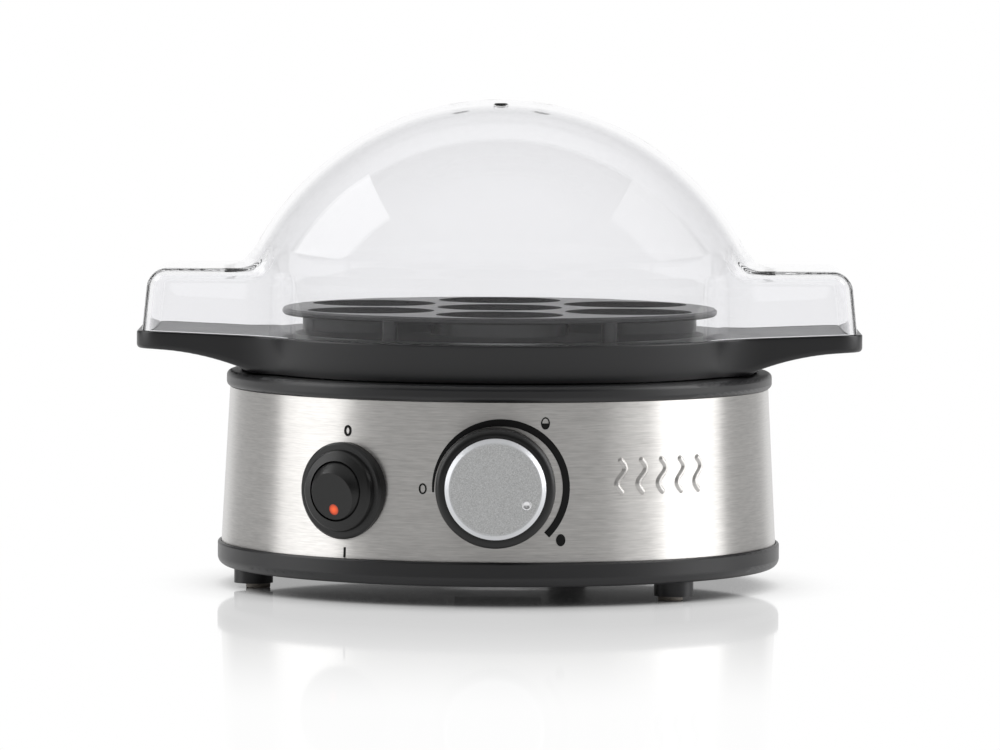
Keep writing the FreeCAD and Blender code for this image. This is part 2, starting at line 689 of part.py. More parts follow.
NODES = {
    "base_pan": base_pan, "base_screws": base_screws, "steel_band": steel_band,
    "top_ring": top_ring, "heating_dish": heating_dish, "heating_element": heating_element,
    "element_terminals": element_terminals, "element_clamp": element_clamp,
    "clamp_nuts": clamp_nuts, "thermostat": thermostat, "thermal_fuse": thermal_fuse,
    "dish_seal": lambda: tube(75.7, 72.4, 64.6, DISH_FLANGE_Z - DISH_T),
    "control_board": control_board, "cooking_control": cooking_control,
    "shaft_nut": shaft_nut, "relay": relay, "buzzer": buzzer, "capacitors": capacitors,
    "switch_bezel": switch_bezel, "switch_housing": switch_housing,
    "switch_terminals": switch_terminals, "rocker": rocker, "rocker_lens": rocker_lens,
    "neon_lamp": neon_lamp, "knob_body": knob_body, "knob_cap": knob_cap,
    "knob_pointer": knob_pointer, "control_shaft": control_shaft,
    "dial_print": dial_print, "switch_print": switch_print,
    "cord_gland": cord_gland, "gland_nut": gland_nut,
    "steam_tray": steam_tray, "egg_rack": egg_rack, "lid": lid,
}

os.makedirs("parts", exist_ok=True)
for node, make in NODES.items():
    save(make(), node)
for side, angle in FOOT_ANGLES.items():
    save(foot_pad(angle), "foot_pad_" + side)
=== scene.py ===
"""Looks for the egg cooker: clear lid, black tray, brushed steel body with a dial and a lit switch.

Metres, +Z up, the controls face -Y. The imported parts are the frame. Outer pieces that need soft
shapes are worked out here as surfaces, and every other part gets its own finish.
"""

import json
import math

import bpy
import numpy as np
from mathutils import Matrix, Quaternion, Vector


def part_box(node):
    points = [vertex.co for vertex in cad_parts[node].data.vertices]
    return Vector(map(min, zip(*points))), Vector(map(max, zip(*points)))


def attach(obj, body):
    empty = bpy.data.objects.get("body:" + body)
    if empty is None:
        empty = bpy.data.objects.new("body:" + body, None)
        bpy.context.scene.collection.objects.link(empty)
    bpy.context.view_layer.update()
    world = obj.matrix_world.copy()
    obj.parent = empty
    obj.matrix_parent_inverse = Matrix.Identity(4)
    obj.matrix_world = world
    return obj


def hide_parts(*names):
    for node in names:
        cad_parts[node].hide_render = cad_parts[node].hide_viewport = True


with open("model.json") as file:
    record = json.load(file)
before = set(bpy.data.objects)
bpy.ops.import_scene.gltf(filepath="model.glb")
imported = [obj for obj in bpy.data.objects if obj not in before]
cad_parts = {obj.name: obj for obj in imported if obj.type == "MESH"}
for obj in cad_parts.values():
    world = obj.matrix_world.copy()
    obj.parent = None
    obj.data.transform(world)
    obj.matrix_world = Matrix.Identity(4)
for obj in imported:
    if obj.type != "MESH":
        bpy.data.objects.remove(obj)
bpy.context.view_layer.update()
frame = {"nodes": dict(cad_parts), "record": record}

MM = 0.001

# ------------------------------------------------------------------- sizes read from the frame
LID_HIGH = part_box("lid")[1]
TRAY_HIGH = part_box("steam_tray")[1]
BAND_LOW, BAND_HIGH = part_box("steel_band")
DISH_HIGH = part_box("heating_dish")[1]

# tray
EAR_TOP = TRAY_HIGH.z                     # top of a tray ear
EAR_TIP = TRAY_HIGH.x                     # reach of a tray ear
EAR_HALF = 34.3 * MM                      # half an ear's width
EAR_THICK = 5.6 * MM                      # at the ear's tip
EAR_SINK = 6.3 * MM                       # how much thicker an ear is where it leaves the skirt
EAR_SINK_POWER = 2.4
EAR_CORNER = 9.0 * MM                     # corner radius, seen from above
EAR_BLEND = 9.0 * MM                      # width of the soft join between an ear and the skirt
EAR_LOW_EDGE = 1.2 * MM                   # rounding of the lower edge
TOP_EDGE = 0.6 * MM                       # rounding of the upper edge
RIM_TOP = EAR_TOP - 1.4 * MM              # where the dome stands
SKIRT_LOW = 69.2 * MM
TRAY_RADIUS = TRAY_HIGH.y                 # rim, seen from above
SKIRT_RADIUS = TRAY_RADIUS - 2.0 * MM     # skirt at its lower edge
TRAY_WALL = 2.2 * MM
DIP_LOW = 62.0 * MM                       # lower edge of the inner wall, which dips into the dish

# lid
LID_WALL = 2.2 * MM
DOME_RADIUS = 88.5 * MM
DOME_FOOT_RADIUS = LID_HIGH.y             # dome wall where it stands on the rim
DOME_CENTRE = LID_HIGH.z - DOME_RADIUS
DOME_LEAN = 0.04                          # the wall above the foot leans in by this share of its height
DOME_JOIN = 1.3 * MM                      # width of the soft join between the wall and the sphere
LID_EAR_TIP = LID_HIGH.x
LID_EAR_HALF = 33.0 * MM
LID_EAR_TOP = 102.2 * MM
LID_EAR_EDGE = 6.0 * MM                   # rounding of the ear's edges
LID_EAR_LEAN = 0.10                       # an ear's end leans in by this share of its height
LID_EAR_BLEND = 8.0 * MM                  # width of the soft join between an ear and the dome
LID_GAP = 0.1 * MM
RAY_CENTRE = 55 * MM                      # height from which the rays look for the lid's skin
VENT_RADIUS = 2.2 * MM
VENT_CIRCLE = 15.0 * MM

# steel band
BAND_RADIUS = BAND_HIGH.y                 # at its lower edge
BAND_TAPER = (88.8 - 86.2) / (63.5 - 14.1)

# raised waves
WAVE_TURN, WAVE_Z = math.radians(-90 + 35.6), 40.4 * MM     # middle of the patch
WAVE_COUNT, WAVE_PITCH = 5, 7.6 * MM
WAVE_SWING = 1.5 * MM                     # sideways swing of a wave
WAVE_HALF_TALL, WAVE_HALF_WIDE = 4.9 * MM, 1.1 * MM
WAVE_RISE, WAVE_GROUND = 0.95 * MM, 0.25 * MM               # over the ground, and ground under the steel
PATCH_HALF_WIDE, PATCH_HALF_TALL, PATCH_THICK = 19.0 * MM, 7.0 * MM, 0.6 * MM

# pointer: crest where the hollow starts, as a share of its radius, and the hollow's depth
DIMPLE_CREST, DIMPLE_DEPTH = 0.78, 0.32 * MM

SHARP_ANGLE = math.radians(42)            # edges sharper than this aren't smoothed

# ------------------------------------------------------------------- looks
BRUSH_FINE = (210, 210, 2700)             # brushed lines per metre, level and upright
BRUSH_LONG = (50, 50, 1300)
CAP_BEVEL = (0.880, 0.935)                # shares of the radius: paint ends, cut bevel starts
GLOW_RADIUS = 2.4 * MM                    # lamp's glow in the lens

FLOOR_RADIUS = 60                         # wide enough for its edge to lie out of view
SHADOW_REACH = 0.05                       # height within which a part darkens the floor
SHADOW_OPEN = (0.12, 0.76)                # openness at which the floor is darkest and palest
MIRROR_SHARE = (0.37, 0.02)               # shine of the floor under the body and far from it
MIRROR_FADE = (0.10, 0.42)                # distances between which the shine fades
MIRROR_FACING = (0.70, 0.90)              # it comes in only where the floor is seen at a low angle

AIM = (0, 0, 0.07)                        # point that the lights face
EYE = (0.0002, -2.56, 0.2171)
EYE_TILT, EYE_ROLL = math.radians(3.352), 0.006
LENS, SENSOR = 288, 36
LIGHT_BOUNCES = 32                        # enough for light to pass the lid's folded walls


# --------------------------------------------------------------------------- surfaces
def mesh_piece(name, points, quads, triangles=()):
    """Object from arrays of corners and faces, turned outwards by the sign of its volume."""
    quads = np.asarray(quads, dtype=np.int32).reshape(-1, 4)
    triangles = np.asarray(triangles, dtype=np.int32).reshape(-1, 3)
    halves = np.concatenate([quads[:, [0, 1, 2]], quads[:, [0, 2, 3]], triangles])
    a, b, c = (points[halves[:, k]] for k in range(3))
    if np.einsum("ij,ij->i", a, np.cross(b, c)).sum() < 0:
        quads, triangles = quads[:, ::-1], triangles[:, ::-1]
    mesh = bpy.data.meshes.new(name)
    mesh.vertices.add(len(points))
    mesh.vertices.foreach_set("co", points.astype(np.float32).ravel())
    corners = np.concatenate([quads.ravel(), triangles.ravel()])
    sizes = np.concatenate([np.full(len(quads), 4), np.full(len(triangles), 3)])
    mesh.loops.add(len(corners))
    mesh.loops.foreach_set("vertex_index", corners)
    mesh.polygons.add(len(sizes))
    mesh.polygons.foreach_set("loop_start", np.cumsum(sizes) - sizes)
    mesh.polygons.foreach_set("use_smooth", np.ones(len(sizes), dtype=bool))
    mesh.update(calc_edges=True)
    mesh.validate()
    mesh.set_sharp_from_angle(angle=SHARP_ANGLE)
    piece = bpy.data.objects.new(name, mesh)
    bpy.context.scene.collection.objects.link(piece)
    return piece


def grid_faces(rows, columns, first=0):
    """Quads between neighbouring rows of a grid whose columns close on themselves."""
    index = first + np.arange(rows * columns).reshape(rows, columns)
    beside = np.roll(index, -1, axis=1)
    return np.stack([index[:-1], beside[:-1], beside[1:], index[1:]], axis=-1).reshape(-1, 4)


def fan(ring, tip):
    """Triangles from a closed ring of corners to one tip."""
    return np.stack([ring, np.roll(ring, -1), np.full(len(ring), tip)], axis=-1)


def blend_min(a, b, width):
    """Smaller of two distances, with a smooth bridge of the given width where they meet."""
    h = np.clip(0.5 + 0.5 * (b - a) / width, 0, 1)
    return b * (1 - h) + a * h - width * h * (1 - h)


def ramp(value, start, end):
    """0 before start, 1 after end, smooth between."""
    t = np.clip((value - start) / (end - start), 0, 1)
    return t * t * (3 - 2 * t)


def ear_angles(columns):
    """Angles round the body, crowded where the ears' sides and tips turn.

    The even angle t is shifted by a multiple of sin 2t and sin 4t, which packs the columns
    near the two ears and keeps the round stretches even.
    """
    t = np.linspace(0, 2 * np.pi, columns, endpoint=False)
    return t - 0.30 * np.sin(2 * t) + 0.035 * np.sin(4 * t)


def along_ray(distance, shape, reach, steps=44):
    """Length at which each ray of an array leaves a solid, found by halving between 0 and reach."""
    low, high = np.full(shape, 0.0), np.full(shape, reach)
    for _ in range(steps):
        middle = (low + high) / 2
        inside = distance(middle) < 0
        low, high = np.where(inside, middle, low), np.where(inside, high, middle)
    return (low + high) / 2


# --------------------------------------------------------------------------- clear lid
def lid_distance(x, y, z):
    """Distance outside the lid: sphere cut by a leaning wall, joined softly to two rounded ears.

    An ear is a box with rounded edges. Its end leans in with height, and its sides lean less.
    """
    across = np.hypot(x, y)
    sphere = np.hypot(across, z - DOME_CENTRE) - DOME_RADIUS
    wall = across - DOME_FOOT_RADIUS + DOME_LEAN * (z - RIM_TOP)
    dome = -blend_min(-sphere, -wall, DOME_JOIN)
    lean = LID_EAR_LEAN * (z - EAR_TOP)
    out = np.abs(x) - LID_EAR_TIP + lean + LID_EAR_EDGE
    side = np.abs(y) - LID_EAR_HALF + 0.4 * lean + LID_EAR_EDGE
    up = z - LID_EAR_TOP + LID_EAR_EDGE
    beyond = np.sqrt(np.maximum(out, 0) ** 2 + np.maximum(side, 0) ** 2 + np.maximum(up, 0) ** 2)
    ear = beyond + np.minimum(np.maximum(np.maximum(out, side), up), 0) - LID_EAR_EDGE
    return blend_min(dome, ear, LID_EAR_BLEND)


def lid_skin(depth, angles, shares):
    """Grid of points a given depth inside the lid's outside, from its foot to just under its top.

    A point is where a ray from a low centre leaves the shape. Each column's first ray meets the
    foot, and its last ones close on the top.
    """
    cos, sin = np.cos(angles), np.sin(angles)
    foot_z = np.full_like(angles, RIM_TOP + LID_GAP)
    for _ in range(2):
        foot_r = along_ray(lambda r: lid_distance(r * cos, r * sin, foot_z) + depth, angles.shape, 0.13)
        foot_z = RIM_TOP + LID_GAP + (EAR_TOP - RIM_TOP) * ear_share(foot_r + depth)
    lowest = np.arctan2(foot_z - RAY_CENTRE, foot_r)
    rise = lowest[None, :] + (np.pi / 2 - lowest[None, :]) * shares[:, None]
    level, climb = np.cos(rise), np.sin(rise)
    reach = along_ray(lambda t: lid_distance(t * level * cos, t * level * sin, RAY_CENTRE + t * climb)
                      + depth, rise.shape, 0.16)
    return np.stack([reach * level * cos, reach * level * sin, RAY_CENTRE + reach * climb], axis=-1)


def clear_lid():
    """One thin clear moulding: outer skin, inner skin and the foot between them, each a grid.

    The rows are crowded round the ears' edges, in the lower fifth of the way to the top.
    """
    angles = ear_angles(400)
    shares = np.interp(np.linspace(0, 1, 118), [0, 0.12, 0.52, 0.66, 1], [0, 0.075, 0.20, 0.34, 1])[:-1]
    outer, inner = lid_skin(0, angles, shares), lid_skin(LID_WALL, angles, shares)
    skin = np.concatenate([inner[::-1], outer])
    rows, columns = skin.shape[:2]
    tips = np.array([[0, 0, LID_HIGH.z - LID_WALL], [0, 0, LID_HIGH.z]])
    points = np.concatenate([skin.reshape(-1, 3), tips])
    count = rows * columns
    last = np.arange(columns) + count - columns
    triangles = np.concatenate([fan(np.arange(columns)[::-1], count), fan(last, count + 1)])
    piece = mesh_piece("clear_lid", points, grid_faces(rows, columns), triangles)
    return cut(piece, [vent_tool(turn) for turn in (-90, 30, 150)])


def vent_tool(turn):
    """Upright round bar at one of the vents' places, to cut with."""
    angles = np.linspace(0, 2 * np.pi, 24, endpoint=False)
    at = VENT_CIRCLE * np.array([math.cos(math.radians(turn)), math.sin(math.radians(turn))])
    rows = [np.column_stack([at[0] + VENT_RADIUS * np.cos(angles), at[1] + VENT_RADIUS * np.sin(angles),
                             np.full(len(angles), z)]) for z in (LID_HIGH.z - 12 * MM, LID_HIGH.z + 5 * MM)]
    points = np.concatenate(rows + [np.array([[*at, rows[0][0, 2]], [*at, rows[1][0, 2]]])])
    ring = np.arange(len(angles))
    triangles = np.concatenate([fan(ring[::-1], 2 * len(ring)), fan(ring + len(ring), 2 * len(ring) + 1)])
    return mesh_piece("vent", points, grid_faces(2, len(ring)), triangles)


def cut(piece, tools):
    """Takes the tools' shapes out of a piece, and removes the tools."""
    for tool in tools:
        step = piece.modifiers.new("cut", "BOOLEAN")
        step.operation, step.solver, step.object = "DIFFERENCE", "EXACT", tool
    bpy.context.view_layer.update()
    made = bpy.data.meshes.new_from_object(piece.evaluated_get(bpy.context.evaluated_depsgraph_get()))
    piece.modifiers.clear()
    piece.data = made
    for tool in tools:
        bpy.data.objects.remove(tool)
    return piece


# --------------------------------------------------------------------------- tray
def ear_sweep(x):
    """Height of a tray ear's underside, which sinks as a power of the distance from the tip."""
    left = np.clip((EAR_TIP - x) / (EAR_TIP - SKIRT_RADIUS), 0, 1)
    return EAR_TOP - EAR_THICK - EAR_SINK * left ** EAR_SINK_POWER


def tray_reach(angles, height):
    """Distance from the axis to the tray's side: a leaning round skirt joined softly to two ears.

    An ear is a long box with round corners seen from above, cut off below by its sweep.
    """
    cos, sin = np.abs(np.cos(angles)), np.abs(np.sin(angles))
    radius = SKIRT_RADIUS + (TRAY_RADIUS - SKIRT_RADIUS) * (height - SKIRT_LOW) / (EAR_TOP - SKIRT_LOW)
    edge = EAR_LOW_EDGE

    def outside(r):
        x, y = r * cos, r * sin
        out, side = x - EAR_TIP + EAR_CORNER, y - EAR_HALF + EAR_CORNER
        beyond = np.hypot(np.maximum(out, 0), np.maximum(side, 0))
        plan = beyond + np.minimum(np.maximum(out, side), 0) - EAR_CORNER + edge
        under = 0.9 * (ear_sweep(x) - height) + edge
        corner = np.hypot(np.maximum(plan, 0), np.maximum(under, 0))
        ear = corner + np.minimum(np.maximum(plan, under), 0) - edge
        return blend_min(r - radius, ear, EAR_BLEND)

    return along_ray(outside, np.broadcast_shapes(angles.shape, height.shape), 0.14)


def ear_share(reach):
    """0 at the rim, 1 at an ear's tip: how far the top has climbed between them."""
    return np.clip((reach - TRAY_RADIUS) / (EAR_TIP - TRAY_RADIUS), 0, 1)


def steam_tray():
    """Closed sheet round the tray: outside with ears, rim, inner wall, and back under the skirt.

    Each row is one height on the outside or one (radius, height) corner of the round inside.
    The outside's rows sink towards the rim, so that the ears rise evenly from it to their tips.
    """
    angles = ear_angles(520)
    swept = ear_sweep(np.linspace(SKIRT_RADIUS, EAR_TIP - 2 * MM, 30))
    turn = np.linspace(0, np.pi / 2, 7)
    height = np.concatenate([
        np.linspace(SKIRT_LOW, swept[0], 6)[:-1], swept,
        EAR_TOP - EAR_THICK + 1.3 * MM * (1 - np.cos(turn[1:])),
        [EAR_TOP - 2 * MM], EAR_TOP - TOP_EDGE + TOP_EDGE * np.sin(turn)])
    reach = tray_reach(angles[None, :], height[:, None])
    reach[-len(turn):] -= TOP_EDGE * (1 - np.cos(turn))[:, None]
    share = ((height - SKIRT_LOW) / (EAR_TOP - SKIRT_LOW))[:, None]
    level = height[:, None] - (EAR_TOP - RIM_TOP) * share * (1 - ear_share(reach[-1]))[None, :]
    cos, sin = np.cos(angles), np.sin(angles)
    rows = [np.stack([reach * cos, reach * sin, level], axis=-1)]
    top, collar = RIM_TOP - TRAY_WALL, DISH_HIGH.z + LID_GAP
    inside = [
        (81.2, RIM_TOP), (66.0, RIM_TOP), (65.3, RIM_TOP - 0.2 * MM), (65.0, RIM_TOP - 0.9 * MM),
        (65.0, DIP_LOW + 0.6 * MM), (65.2, DIP_LOW), (66.8, DIP_LOW), (67.0, DIP_LOW + 0.6 * MM),
        (67.0, top), (72.0, top), (72.0, collar), (74.0, collar), (74.0, top), (79.4, top),
        (78.0, SKIRT_LOW), (80.0, SKIRT_LOW)]
    for r, z in inside:
        rows.append(np.stack([r * MM * cos, r * MM * sin, np.full_like(cos, z)], axis=-1)[None])
    grid = np.concatenate(rows)
    count, columns = grid.shape[:2]
    faces = grid_faces(count, columns)
    index = np.arange(count * columns).reshape(count, columns)
    closing = np.stack([index[-1], np.roll(index[-1], -1), np.roll(index[0], -1), index[0]], axis=-1)
    return mesh_piece("black_tray", grid.reshape(-1, 3), np.concatenate([faces, closing]))


# --------------------------------------------------------------------------- raised steam waves
def steam_waves():
    """Five S-shaped ribs pressed out of the band, as one patch whose ground lies inside the steel.

    A point's height over the ground falls off smoothly with its distance from the nearest wave
    line, which is a full swing of a sine with straight ends.
    """
    across, up = np.meshgrid(np.linspace(-PATCH_HALF_WIDE, PATCH_HALF_WIDE, 190),
                             np.linspace(-PATCH_HALF_TALL, PATCH_HALF_TALL, 76))
    line_z = np.linspace(-WAVE_HALF_TALL, WAVE_HALF_TALL, 40)
    line_x = WAVE_SWING * np.sin(np.pi * line_z / WAVE_HALF_TALL)
    nearest = np.full(across.shape, 1.0)
    for k in range(WAVE_COUNT):
        for x, z in zip(line_x + (k - WAVE_COUNT // 2) * WAVE_PITCH, line_z):
            nearest = np.minimum(nearest, np.hypot(across - x, up - z))
    height = WAVE_RISE * (1 - ramp(nearest, 0.25 * WAVE_HALF_WIDE, 1.25 * WAVE_HALF_WIDE)) - WAVE_GROUND
    z = WAVE_Z + up
    base = BAND_RADIUS - BAND_TAPER * (z - BAND_LOW.z)
    turn = WAVE_TURN + across / BAND_RADIUS
    front = np.stack([(base + height) * np.cos(turn), (base + height) * np.sin(turn), z], axis=-1)
    back_r = base - PATCH_THICK
    back = np.stack([back_r * np.cos(turn), back_r * np.sin(turn), z], axis=-1)
    rows, columns = across.shape
    index = np.arange(rows * columns).reshape(rows, columns)
    faces = np.stack([index[:-1, :-1], index[:-1, 1:], index[1:, 1:], index[1:, :-1]], axis=-1)
    faces = faces.reshape(-1, 4)
    behind = faces[:, ::-1] + rows * columns
    edge = np.concatenate([index[0, :-1], index[:-1, -1], index[-1, :0:-1], index[:0:-1, 0]])
    after = np.roll(edge, -1)
    sides = np.stack([after, edge, edge + rows * columns, after + rows * columns], axis=-1)
    points = np.concatenate([front.reshape(-1, 3), back.reshape(-1, 3)])
    return mesh_piece("steam_waves", points, np.concatenate([faces, behind, sides]))


# --------------------------------------------------------------------------- pointer on the cap
def spun(name, profile, centre, columns=64):
    """Profile of (radius, distance forward) turned about an axis along Y through a centre."""
    angles = np.linspace(0, 2 * np.pi, columns, endpoint=False)
    radius, forward = (np.array(part)[:, None] for part in zip(*profile[1:-1]))
    ring = np.stack([centre.x + radius * np.cos(angles), centre.y - forward + 0 * angles,
                     centre.z + radius * np.sin(angles)], axis=-1)
    tips = np.array([[centre.x, centre.y - profile[k][1], centre.z] for k in (0, -1)])
    rows, count = len(ring), len(ring) * columns
    first, last = np.arange(columns), np.arange(columns) + count - columns
    triangles = np.concatenate([fan(first[::-1], count), fan(last, count + 1)])
    points = np.concatenate([ring.reshape(-1, 3), tips])
    return mesh_piece(name, points, grid_faces(rows, columns), triangles)


def pointer_dimple():
    """Small bright dish: a rounded crest round a hollow, which is a bowl with a cosine profile."""
    low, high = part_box("knob_pointer")
    centre = (low + high) / 2
    wide, back, crest = (high.x - low.x) / 2, high.y - centre.y, centre.y - low.y
    lip = 1 - DIMPLE_CREST
    bowl = [(wide * DIMPLE_CREST * t,
             crest - DIMPLE_DEPTH * (0.5 + 0.5 * math.cos(math.pi * t)) * (1.25 - t))
            for t in (0.001, 0.15, 0.3, 0.45, 0.6, 0.75, 0.9, 1.0)]
    rim = [(wide * (DIMPLE_CREST + lip * math.sin(a)), crest - wide * lip * (1 - math.cos(a)))
           for a in np.linspace(0.3, math.pi / 2, 5)]
    foot = [(wide, -back + 0.05 * MM), (wide * 0.9, -back), (0, -back)]
    profile = [(0, bowl[0][1])] + bowl + rim + foot
    return spun("pointer_dimple", profile, centre)


# --------------------------------------------------------------------------- finishes
def shader_group(name, inputs, outputs):
    """Empty node group with float or colour sockets, and its two end nodes."""
    group = bpy.data.node_groups.new(name, "ShaderNodeTree")
    for label, kind, value in inputs:
        socket = group.interface.new_socket(label, in_out="INPUT", socket_type=kind)
        socket.default_value = value
    for label, kind in outputs:
        group.interface.new_socket(label, in_out="OUTPUT", socket_type=kind)
    return group, group.nodes.new("NodeGroupInput"), group.nodes.new("NodeGroupOutput")


def add_node(tree, kind, values=None, links=None, **settings):
    """Node with settings, socket values and links into it, in one call."""
    node = tree.nodes.new(kind)
    for key, value in settings.items():
        setattr(node, key, value)
    for key, value in (values or {}).items():
        node.inputs[key].default_value = value
    for key, source in (links or {}).items():
        tree.links.new(source, node.inputs[key])
    return node


def spread_out(group, start, end, swing, height):
    """Ends a group: colour and roughness shifted by a swing times their spreads, and a height."""
    light = add_node(group, "ShaderNodeMath", {2: 1.0}, {0: swing, 1: start.outputs["Spread"]},
                     operation="MULTIPLY_ADD")
    tone = add_node(group, "ShaderNodeVectorMath", operation="SCALE",
                    links={0: start.outputs["Color"], "Scale": light.outputs[0]})
    shine = add_node(group, "ShaderNodeMath", operation="MULTIPLY_ADD", links={
        0: swing, 1: start.outputs["Roughness Spread"], 2: start.outputs["Roughness"]})
    for label, source in (("Color", tone.outputs[0]), ("Roughness", shine.outputs[0]), ("Height", height)):
        group.links.new(source, end.inputs[label])
    return group


def moulded_group():
    """Slow mottling of colour and shine, with a fine grain on the surface."""
    group, start, end = shader_group("moulded", [
        ("Color", "NodeSocketColor", (0.5, 0.5, 0.5, 1)), ("Spread", "NodeSocketFloat", 0.1),
        ("Roughness", "NodeSocketFloat", 0.4), ("Roughness Spread", "NodeSocketFloat", 0.08),
        ("Mottle Scale", "NodeSocketFloat", 70.0), ("Grain Scale", "NodeSocketFloat", 2200.0),
    ], [("Color", "NodeSocketColor"), ("Roughness", "NodeSocketFloat"), ("Height", "NodeSocketFloat")])
    place = add_node(group, "ShaderNodeTexCoord").outputs["Object"]
    mottle = add_node(group, "ShaderNodeTexNoise", {"Detail": 5.0, "Roughness": 0.6},
                      {"Vector": place, "Scale": start.outputs["Mottle Scale"]})
    grain = add_node(group, "ShaderNodeTexNoise", {"Detail": 2.0, "Roughness": 0.5},
                     {"Vector": place, "Scale": start.outputs["Grain Scale"]})
    swing = add_node(group, "ShaderNodeMath", {1: 0.5}, {0: mottle.outputs["Fac"]}, operation="SUBTRACT")
    fine = add_node(group, "ShaderNodeMath", {1: 0.5}, {0: grain.outputs["Fac"]}, operation="SUBTRACT")
    both = add_node(group, "ShaderNodeMath", operation="ADD",
                    links={0: swing.outputs[0], 1: fine.outputs[0]})
    return spread_out(group, start, end, both.outputs[0], grain.outputs["Fac"])


def brushed_group():
    """Fine lines that run level round the piece, in tone, shine and height."""
    group, start, end = shader_group("brushed", [
        ("Color", "NodeSocketColor", (0.6, 0.6, 0.6, 1)), ("Spread", "NodeSocketFloat", 0.2),
        ("Roughness", "NodeSocketFloat", 0.3), ("Roughness Spread", "NodeSocketFloat", 0.1),
    ], [("Color", "NodeSocketColor"), ("Roughness", "NodeSocketFloat"), ("Height", "NodeSocketFloat")])
    place = add_node(group, "ShaderNodeTexCoord").outputs["Object"]

    def streaks(scale, detail):
        at = add_node(group, "ShaderNodeMapping", {"Scale": scale}, {"Vector": place})
        noise = add_node(group, "ShaderNodeTexNoise", {"Scale": 1.0, "Detail": detail},
                         {"Vector": at.outputs[0]})
        return noise.outputs["Fac"]

    mixed = add_node(group, "ShaderNodeMath", {1: 0.6}, {0: streaks(BRUSH_LONG, 2.0)}, operation="MULTIPLY")
    both = add_node(group, "ShaderNodeMath", operation="ADD",
                    links={0: streaks(BRUSH_FINE, 3.0), 1: mixed.outputs[0]})
    swing = add_node(group, "ShaderNodeMath", {1: 0.8}, {0: both.outputs[0]}, operation="SUBTRACT")
    return spread_out(group, start, end, swing.outputs[0], both.outputs[0])


MOULDED, BRUSHED = moulded_group(), brushed_group()


def finish(name, group, group_values, shader_values=None, bump=(0.2, 0.00002)):
    """Material: one Principled shader fed by a pattern group, with a shallow bump."""
    material = bpy.data.materials.new(name)
    material.use_nodes = True
    tree = material.node_tree
    shader = tree.nodes["Principled BSDF"]
    pattern = add_node(tree, "ShaderNodeGroup", node_tree=group)
    for key, value in group_values.items():
        pattern.inputs[key].default_value = value
    for key, value in (shader_values or {}).items():
        shader.inputs[key].default_value = value
    tree.links.new(pattern.outputs["Color"], shader.inputs["Base Color"])
    tree.links.new(pattern.outputs["Roughness"], shader.inputs["Roughness"])
    relief = add_node(tree, "ShaderNodeBump", {"Strength": bump[0], "Distance": bump[1]},
                      {"Height": pattern.outputs["Height"]})
    tree.links.new(relief.outputs["Normal"], shader.inputs["Normal"])
    return material


def rgb(red, green, blue):
    return (red, green, blue, 1.0)


def moulded(name, colour, roughness, spread=0.12, shine=0.1, mottle=70.0, grain=2200.0,
            bump=(0.2, 0.00002), **shader):
    """Moulded, painted, coated or plated finish: spreads of colour and roughness, two pattern scales."""
    return finish(name, MOULDED, {"Color": rgb(*colour), "Spread": spread, "Roughness": roughness,
                                  "Roughness Spread": shine, "Mottle Scale": mottle, "Grain Scale": grain},
                  {key.replace("_", " "): value for key, value in shader.items()}, bump)


def brushed_steel():
    """Steel brushed round the body: its lines widen a highlight up and down."""
    material = finish("brushed_band", BRUSHED, {"Color": rgb(0.565, 0.553, 0.537), "Spread": 0.50,
                                                "Roughness": 0.35, "Roughness Spread": 0.15},
                      {"Metallic": 1.0, "Anisotropic": 0.9, "Anisotropic Rotation": 0.25}, (0.04, 0.00002))
    tree = material.node_tree
    round_body = add_node(tree, "ShaderNodeTangent", direction_type="RADIAL", axis="Z")
    tree.links.new(round_body.outputs[0], tree.nodes["Principled BSDF"].inputs["Tangent"])
    return material


def clear_plastic():
    """Clear polished moulding with faint waves in its skin."""
    return finish("clear_plastic", MOULDED, {"Color": rgb(0.955, 0.955, 0.966), "Spread": 0.01,
                                             "Roughness": 0.012, "Roughness Spread": 0.01,
                                             "Mottle Scale": 30.0, "Grain Scale": 45.0},
                  {"Transmission Weight": 1.0, "IOR": 1.49}, (0.06, 0.0004))


def silver_cap():
    """Satin silver paint on the cap's face, and a bright cut bevel beyond a given radius."""
    material = moulded("silver_satin", (0.52, 0.525, 0.525), 0.44, 0.9, 0.4, 2900.0, 3600.0,
                       (0.5, 0.00005))
    tree = material.node_tree
    shader = tree.nodes["Principled BSDF"]
    low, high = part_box("knob_cap")
    middle, radius = (low + high) / 2, (high.x - low.x) / 2
    place = add_node(tree, "ShaderNodeTexCoord").outputs["Object"]
    centred = add_node(tree, "ShaderNodeMapping", {
        "Location": (-middle.x / radius, 0, -middle.z / radius), "Scale": (1 / radius, 0, 1 / radius)},
        {"Vector": place})
    reach = add_node(tree, "ShaderNodeVectorMath", links={0: centred.outputs[0]}, operation="LENGTH")
    bevel = add_node(tree, "ShaderNodeMapRange", {"From Min": CAP_BEVEL[0], "From Max": CAP_BEVEL[1]},
                     {"Value": reach.outputs["Value"]})
    painted = shader.inputs["Base Color"].links[0].from_socket
    tone = add_node(tree, "ShaderNodeMix", {7: rgb(0.66, 0.67, 0.69)}, {0: bevel.outputs[0], 6: painted},
                    data_type="RGBA")
    metal = add_node(tree, "ShaderNodeMapRange", {"To Min": 0.35, "To Max": 0.75},
                     {"Value": bevel.outputs[0]})
    satin = shader.inputs["Roughness"].links[0].from_socket
    shine = add_node(tree, "ShaderNodeMix", {3: 0.42}, {0: bevel.outputs[0], 2: satin})
    tree.links.new(tone.outputs[2], shader.inputs["Base Color"])
    tree.links.new(metal.outputs[0], shader.inputs["Metallic"])
    tree.links.new(shine.outputs[0], shader.inputs["Roughness"])
    return material


